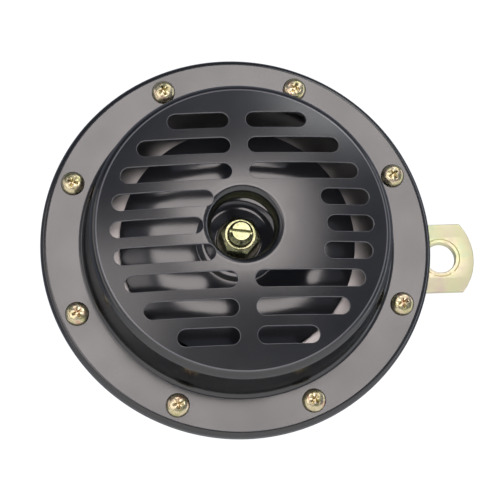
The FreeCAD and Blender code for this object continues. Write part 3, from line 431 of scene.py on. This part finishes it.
def lathe(line, steps, closed=False):
    """A line of (across, height) spun once round the horn's axis."""
    shape = bmesh.new()
    points = [shape.verts.new((p[0], 0.0, p[1])) for p in line]
    edges = [shape.edges.new(pair) for pair in zip(points, points[1:])]
    if closed:
        edges.append(shape.edges.new((points[-1], points[0])))
    bmesh.ops.spin(shape, geom=points + edges, axis=(0, 0, 1), angle=2 * math.pi,
                   steps=steps, use_merge=True)
    bmesh.ops.remove_doubles(shape, verts=shape.verts, dist=1e-4)
    bmesh.ops.recalc_face_normals(shape, faces=shape.faces)
    return shape


def carve(body, tool, operation):
    """A closed shape cut by another, or kept only where it meets it."""
    solids = []
    for shape in (body, tool):
        mesh = bpy.data.meshes.new("carving")
        shape.to_mesh(mesh)
        shape.free()
        solids.append(bpy.data.objects.new("carving", mesh))
        bpy.context.scene.collection.objects.link(solids[-1])
    cut = solids[0].modifiers.new("cut", "BOOLEAN")
    cut.operation, cut.solver, cut.object = operation, "EXACT", solids[1]
    bpy.context.view_layer.update()
    carved = bmesh.new()
    carved.from_object(solids[0], bpy.context.evaluated_depsgraph_get())
    for solid in solids:
        mesh = solid.data
        bpy.data.objects.remove(solid)
        bpy.data.meshes.remove(mesh)
    bmesh.ops.remove_doubles(carved, verts=carved.verts, dist=2e-4)
    return carved


def ease(shape, width, angle):
    """Rounds the edges that are sharper than an angle by a small width."""
    sharp = [e for e in shape.edges if len(e.link_faces) == 2
             and e.calc_face_angle() > math.radians(angle)]
    bmesh.ops.bevel(shape, geom=sharp, offset=width, offset_type="OFFSET", affect="EDGES",
                    segments=2, profile=0.5, material=-1, clamp_overlap=True)


head = lathe(rounded([(0.0, -7.9, 0), (1.6, -7.9, 0), (2.0, -7.4, 0), (2.0, 0.0, 0),
                      (3.78, 0.0, 0.15), (3.9, 0.7, 0.5), (3.35, 1.95, 2.0), (0.0, 2.6, 0)],
                     turn=6), steps=64)
# the recess is two crossed wings and a point, all narrower at the bottom
wing_top, wing_foot = (5.5, 1.25, 3.1), (1.2, 0.25, 0.95)
for quarter in (0, 90):
    wing = bmesh.new()
    for v in bmesh.ops.create_cube(wing, size=1.0)["verts"]:
        long, thick, level = wing_top if v.co.z > 0 else wing_foot
        v.co = Vector((v.co.x * long, v.co.y * thick, level))
    bmesh.ops.rotate(wing, verts=wing.verts,
                     matrix=Matrix.Rotation(math.radians(quarter), 3, "Z"))
    head = carve(head, wing, "DIFFERENCE")
cone = bmesh.new()
bmesh.ops.create_cone(cone, cap_ends=True, segments=4, radius1=0.2, radius2=1.3, depth=2.3,
                      matrix=Matrix.Translation((0, 0, 2.15)))
head = carve(head, cone, "DIFFERENCE")
ease(head, 0.07, 28)
one_screw = bpy.data.meshes.new("one_screw")
head.to_mesh(one_screw)
head.free()
screws = bmesh.new()
for k, turn in enumerate(screw_turns):
    where = math.radians(first_screw + 360 / len(screw_turns) * k)
    before = len(screws.verts)
    screws.from_mesh(one_screw)
    screws.verts.ensure_lookup_table()
    bmesh.ops.transform(screws, verts=screws.verts[before:], matrix=Matrix.Translation(
        (screw_circle * math.cos(where), screw_circle * math.sin(where), 0.0))
        @ Matrix.Rotation(math.radians(turn), 4, "Z"))
bpy.data.meshes.remove(one_screw)


def passivated_zinc(name, shades, grain, rough):
    """Bright zinc plating dipped in a chromate bath: pale yellow, with a thin
    iridescent film that drifts from green to pink."""
    zinc, tree, shader, spot = new_finish(name)
    shader.inputs["Metallic"].default_value = 1.0
    film = add_node(tree, "ShaderNodeTexNoise", Vector=spot, Scale=grain, Detail=2.0,
                    Distortion=0.6)
    drift = add_node(tree, "ShaderNodeValToRGB", Fac=film.outputs["Fac"])
    stops = drift.color_ramp.elements
    stops[0].position, stops[1].position = 0.34, 0.66
    for place in (0.45, 0.56):
        stops.new(place)
    for stop, code in zip(stops, shades):
        stop.color = colour(code)
    tree.links.new(drift.outputs[0], shader.inputs["Base Color"])
    # the plating's grain is far below 1 mm; it is drawn at about 1 mm to show
    wear = add_node(tree, "ShaderNodeTexNoise", Vector=spot, Scale=900.0, Detail=3.0)
    gloss = add_node(tree, "ShaderNodeMapRange", Value=wear.outputs["Fac"],
                     i1=0.3, i2=0.7, i3=rough - 0.05, i4=rough + 0.07)
    tree.links.new(gloss.outputs[0], shader.inputs["Roughness"])
    relief = add_node(tree, "ShaderNodeBump", Height=wear.outputs["Fac"], Strength=0.3,
                      Distance=0.00002)
    tree.links.new(relief.outputs[0], shader.inputs["Normal"])
    return zinc


# small bright heads, whose film changes colour over some 2 mm
cross_screws = make("cross_screws", screws, passivated_zinc(
    "passivated_zinc_screws", ("#c3bf8e", "#dccfa6", "#e8dcba", "#deb89c"), 420.0, 0.25))
cross_screws.data.set_sharp_from_angle(angle=math.radians(38))
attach(cross_screws, "horn")
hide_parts("rim_screws")

# Tone disc
# A stamped steel disc, bent back towards its edge and painted black, that
# rings with the stem. It shows through the slots.
disc = lathe(rounded([(4.05, 2.4, 0), (7.7, 2.4, 1.0), (12.0, 1.65, 5.0), (13.9, 2.4, 2.0),
                      (28.3, 2.4, 60.0), (39.0, 1.35, 0.1), (39.0, 1.85, 0.1),
                      (28.3, 3.4, 60.0), (13.9, 3.4, 2.0), (12.0, 2.65, 5.0),
                      (7.7, 3.4, 1.0), (4.05, 3.4, 0)], turn=2), steps=256, closed=True)
# glossier than the cover and a shade greyer, so it stays readable in its shadow
disc_enamel = black_enamel("black_disc_enamel", 1.7, 0.12, 0.16, "#292a2f", "#323338")
ringing_disc = make("ringing_disc", disc, disc_enamel)
ringing_disc.data.set_sharp_from_angle(angle=math.radians(30))
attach(ringing_disc, "stem")
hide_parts("tone_disc")

# Middle washer
# A plain washer, turned or stamped from steel and plated like the nut. It
# lies in the shade of the middle hole and clamps the disc on the stem.
ring = lathe(rounded([(4.1, 3.4, 0), (7.5, 3.4, 0.12), (7.5, 4.6, 0.3), (4.1, 4.6, 0)],
                     turn=10), steps=96, closed=True)
# drawn a dark brown-grey with little colour left, far darker than the nut
plain_washer = make("plain_washer", ring, passivated_zinc(
    "passivated_zinc_washer", ("#30322c", "#34332f", "#393731", "#36312d"), 260.0, 0.30))
plain_washer.data.set_sharp_from_angle(angle=math.radians(35))
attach(plain_washer, "stem")
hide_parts("centre_washer")

# Middle nut
# A hexagon nut of 11.6 mm over its faces on the M8 stud. Its front edge is
# turned to a ring, which cuts the six corners to arcs.
nut_flats, nut_foot, nut_tall, nut_turn = 11.6, 4.6, 6.5, 17
hexagon = bmesh.new()
bmesh.ops.create_cone(hexagon, cap_ends=True, segments=6, radius1=nut_flats / math.sqrt(3),
                      radius2=nut_flats / math.sqrt(3), depth=nut_tall,
                      matrix=Matrix.Translation((0, 0, nut_foot + nut_tall / 2))
                      @ Matrix.Rotation(math.radians(nut_turn), 4, "Z"))
turned = lathe([(4.05, 4.5), (6.0, 4.6), (7.1, 5.2), (7.1, 9.6), (5.2, 10.9), (5.05, 11.1),
                (4.2, 11.1), (4.1, 10.95), (4.05, 10.4)], steps=96, closed=True)
hexagon = carve(hexagon, turned, "INTERSECT")
ease(hexagon, 0.12, 18)
# greener than the screws, over some 4 mm; the stud has the same
nut_zinc = passivated_zinc("passivated_zinc_nut", ("#9fa47c", "#acad84", "#b5b58e", "#b0aa88"),
                           260.0, 0.28)
hexagon_nut = make("hexagon_nut", hexagon, nut_zinc)
hexagon_nut.data.set_sharp_from_angle(angle=math.radians(35))
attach(hexagon_nut, "stem")
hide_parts("centre_nut")

# Stud
# A plated steel stud with a rolled M8 thread. Its front end is chamfered and
# has a saw cut for a screwdriver.
back_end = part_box("centre_stud")[1][1]
stud_foot, stud_end, pitch = (horn_middle.y - back_end) * 1000, 15.1, 1.25
saw_cut, saw_level, saw_turn = (9.0, 1.2, 2.6), 14.8, -8
# the thread runs on past both ends and is then cut to the stud's own outline
start = stud_foot - pitch
turns = math.ceil((stud_end + 1.4 - start) / pitch)
thread = bmesh.new()
flank = [thread.verts.new((r, 0, start + up * pitch)) for r, up in
         ((3.32, 0.0), (3.42, 0.08), (3.92, 0.44), (3.92, 0.56), (3.42, 0.92), (3.32, 1.0))]
edges = [thread.edges.new(pair) for pair in zip(flank, flank[1:])]
bmesh.ops.spin(thread, geom=flank + edges, axis=(0, 0, 1), dvec=(0, 0, pitch / 48),
               angle=2 * math.pi * turns, steps=48 * turns)
bmesh.ops.remove_doubles(thread, verts=thread.verts, dist=1e-3)
bmesh.ops.holes_fill(thread, edges=[e for e in thread.edges if e.is_boundary])
bmesh.ops.recalc_face_normals(thread, faces=thread.faces)
envelope = lathe([(0.0, stud_foot), (3.4, stud_foot), (4.2, stud_foot + 0.8), (4.2, 13.8),
                  (3.0, stud_end), (0.0, stud_end)], steps=64)
thread = carve(thread, envelope, "INTERSECT")
saw = bmesh.new()
bmesh.ops.create_cube(saw, size=1.0, matrix=Matrix.Translation((0, 0, saw_level))
                      @ Matrix.Rotation(math.radians(saw_turn), 4, "Z")
                      @ Matrix.Diagonal((*saw_cut, 1.0)))
thread = carve(thread, saw, "DIFFERENCE")
slotted_stud = make("slotted_stud", thread, nut_zinc)
slotted_stud.data.set_sharp_from_angle(angle=math.radians(30))
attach(slotted_stud, "stem")
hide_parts("centre_stud")

# Bracket
# A flat bar blanked from 3 mm steel and plated like the screws. A ring is
# coined round its mounting hole, and the stamp has left it in three lengths.
bar_thick, bar_half, end_curve, bar_front = 3.0, 12.0, 19.0, -25.0
mounting_hole, end_middle, bar_round = 73.0, 65.7, 0.3
stud_hole_half, mounting_hole_half = 4.25, 5.25
coined_lengths = ((-48, 205), (-112, -60), (-141, -124))
coin_section = ((6.55, -25.35), (6.95, -24.9), (6.3, -24.9), (6.45, -25.35))
blank = flat_blank("bar", bar_thick, bar_round, 2)
lean = math.degrees(math.asin((bar_half - bar_round) / (end_curve - bar_round)))
outline(blank, arc(end_middle, 0, end_curve - bar_round, -lean, lean, 40)
        + arc(0, 0, bar_half - bar_round, 90, 270, 40))
for centre, radius in ((0.0, stud_hole_half), (mounting_hole, mounting_hole_half)):
    outline(blank, arc(centre, 0, radius + bar_round, 0, 360, 96)[:-1])
bar = blank_shape(blank)
bmesh.ops.translate(bar, verts=bar.verts, vec=(0, 0, bar_front - bar_thick / 2))
bmesh.ops.recalc_face_normals(bar, faces=bar.faces)
coin = bmesh.new()
for first, last in coined_lengths:
    stamp = [coin.verts.new((r, 0, z)) for r, z in coin_section]
    sides = [coin.edges.new((stamp[k], stamp[(k + 1) % 4])) for k in range(4)]
    end = coin.faces.new(stamp)
    bmesh.ops.rotate(coin, verts=stamp, matrix=Matrix.Rotation(math.radians(first), 3, "Z"))
    bmesh.ops.spin(coin, geom=[end] + sides + stamp, axis=(0, 0, 1),
                   angle=math.radians(last - first), steps=max(2, int((last - first) / 4)))
bmesh.ops.remove_doubles(coin, verts=coin.verts, dist=1e-4)
bmesh.ops.translate(coin, verts=coin.verts, vec=(mounting_hole, 0, 0))
bmesh.ops.recalc_face_normals(coin, faces=coin.faces)
bar = carve(bar, coin, "DIFFERENCE")
# pale and satin, with its film's colours in patches of some 14 mm
flat_bar = make("flat_bar", bar, passivated_zinc(
    "passivated_zinc_bar", ("#f0f7cd", "#fbf8ca", "#fcf4d0", "#f8e8d0"), 70.0, 0.47))
flat_bar.data.set_sharp_from_angle(angle=math.radians(32))
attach(flat_bar, "horn")
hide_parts("bracket")

# Housing
# The cup behind, drawn from steel sheet with tapped collars for the screws.
# It keeps its solid and is sprayed and stoved with the cover.


def repaint(finish, *names):
    """Gives CAD nodes a finish in place of their plain one."""
    for name in names:
        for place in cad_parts[name].material_slots:
            place.material = finish


repaint(stoving_enamel, "housing")

# Nuts and screws behind
# The bracket's nut and lock washer on the rear stud, the adjusting screw with
# its nut, and the breaker's screw. All are plated like the middle nut.
small_parts = ("lock_washer", "bracket_nut", "adjusting_screw", "adjusting_nut", "breaker_screw")
repaint(nut_zinc, *small_parts)

# Diaphragm
# A thin disc cut from rolled spring steel, bare and clamped at its rim. It
# shows as a plain pale grey ring behind the outermost slot ends.


def grained(name, metal, shades, grain, rough, bump):
    """A finish whose grain shifts its tone, its gloss and its relief."""
    stuff, tree, shader, spot = new_finish(name)
    shader.inputs["Metallic"].default_value = metal
    grains = add_node(tree, "ShaderNodeTexNoise", Vector=spot, Scale=grain, Detail=4.0)
    tone = add_node(tree, "ShaderNodeMix", {"data_type": "RGBA"}, i0=grains.outputs["Fac"],
                    i6=colour(shades[0]), i7=colour(shades[1]))
    tree.links.new(tone.outputs[2], shader.inputs["Base Color"])
    gloss = add_node(tree, "ShaderNodeMapRange", Value=grains.outputs["Fac"],
                     i1=0.3, i2=0.7, i3=rough - 0.05, i4=rough + 0.06)
    tree.links.new(gloss.outputs[0], shader.inputs["Roughness"])
    relief = add_node(tree, "ShaderNodeBump", Height=grains.outputs["Fac"], Strength=bump,
                      Distance=0.00003)
    tree.links.new(relief.outputs[0], shader.inputs["Normal"])
    return stuff


# smooth and pale grey from the rolls, with patches of 17 mm that hardly differ
spring_steel = grained("rolled_spring_steel", 1.0, ("#a19d9c", "#a8a5a4"), 60.0, 0.33, 0.02)
repaint(spring_steel, "diaphragm")

# Steel pieces inside
# The clamp washer and spacer on the stem, the armature, the magnet's core,
# and the breaker's post, plate and moving leaf. They are turned or stamped.
steel_pieces = ("clamp_washer", "disc_spacer", "armature", "magnet_core", "breaker_post",
                "clamp_plate", "moving_arm")
# bare steel is grey and semi-bright; its tool marks are too fine to show, and
# are drawn as blotches of 2 mm
repaint(grained("bright_steel", 1.0, ("#8d8b88", "#a3a19d"), 500.0, 0.34, 0.3), *steel_pieces)

# Brass pieces
# The breaker's fixed arm and the two terminal blades, stamped from rolled
# brass sheet, and the blades' rivets, headed from brass wire.
brass_pieces = ("fixed_arm", "terminal_tab_left", "terminal_tab_right", "terminal_rivets")
# a warm yellow that has tarnished a little in spots of some 3 mm
repaint(grained("rolled_brass", 1.0, ("#c9a85c", "#b8924a"), 300.0, 0.3, 0.3), *brass_pieces)

# Contacts
# Two small buttons of a hard pale alloy that stands the sparks, riveted to
# the breaker's arms.
contacts = ("fixed_contact", "moving_contact")
# light grey with fine pits, drawn at about 1 mm to show
repaint(grained("contact_metal", 1.0, ("#c4c2bd", "#a9a7a3"), 900.0, 0.32, 0.3), *contacts)

# Winding
# Enamelled copper wire wound on the bobbin. One solid stands for its turns.
winding = "coil_winding"
# the enamel makes the copper a deep red-brown; the turns lie 0.3 mm apart,
# too fine to show, and are drawn as a grain of 1.4 mm
repaint(grained("enamelled_copper_wire", 1.0, ("#9a4a22", "#7c3517"), 700.0, 0.3, 0.6), winding)

# Terminal block and bobbin
# Both are moulded from filled phenolic. The block is riveted to the housing
# under the blades, and the bobbin sits on the magnet's core.
mouldings = ("terminal_block", "coil_bobbin")
# brown-black and half glossy, with faint flow marks of 3 mm
repaint(grained("moulded_phenolic", 0.0, ("#1d1310", "#2c1c15"), 350.0, 0.38, 0.4), *mouldings)

# Insulators
# The three washers of the breaker's stack and the ring that pushes its arm,
# punched or turned from vulcanised fibre.
insulators = ("lower_insulator", "middle_insulator", "upper_insulator", "pusher_ring")
# a dull red-brown with a soft mottle of under 2 mm
repaint(grained("vulcanised_fibre", 0.0, ("#7b5634", "#6a4526"), 600.0, 0.6, 0.7), *insulators)

# Gaskets
# Two rings cut from oiled gasket paper, on both sides of the diaphragm. Only
# their edges could ever show.
gaskets = ("front_gasket", "rear_gasket")
# matt and grey-brown, with the paper's fibres drawn at about 1 mm to show
repaint(grained("gasket_paper", 0.0, ("#55524b", "#45433d"), 900.0, 0.85, 0.8), *gaskets)
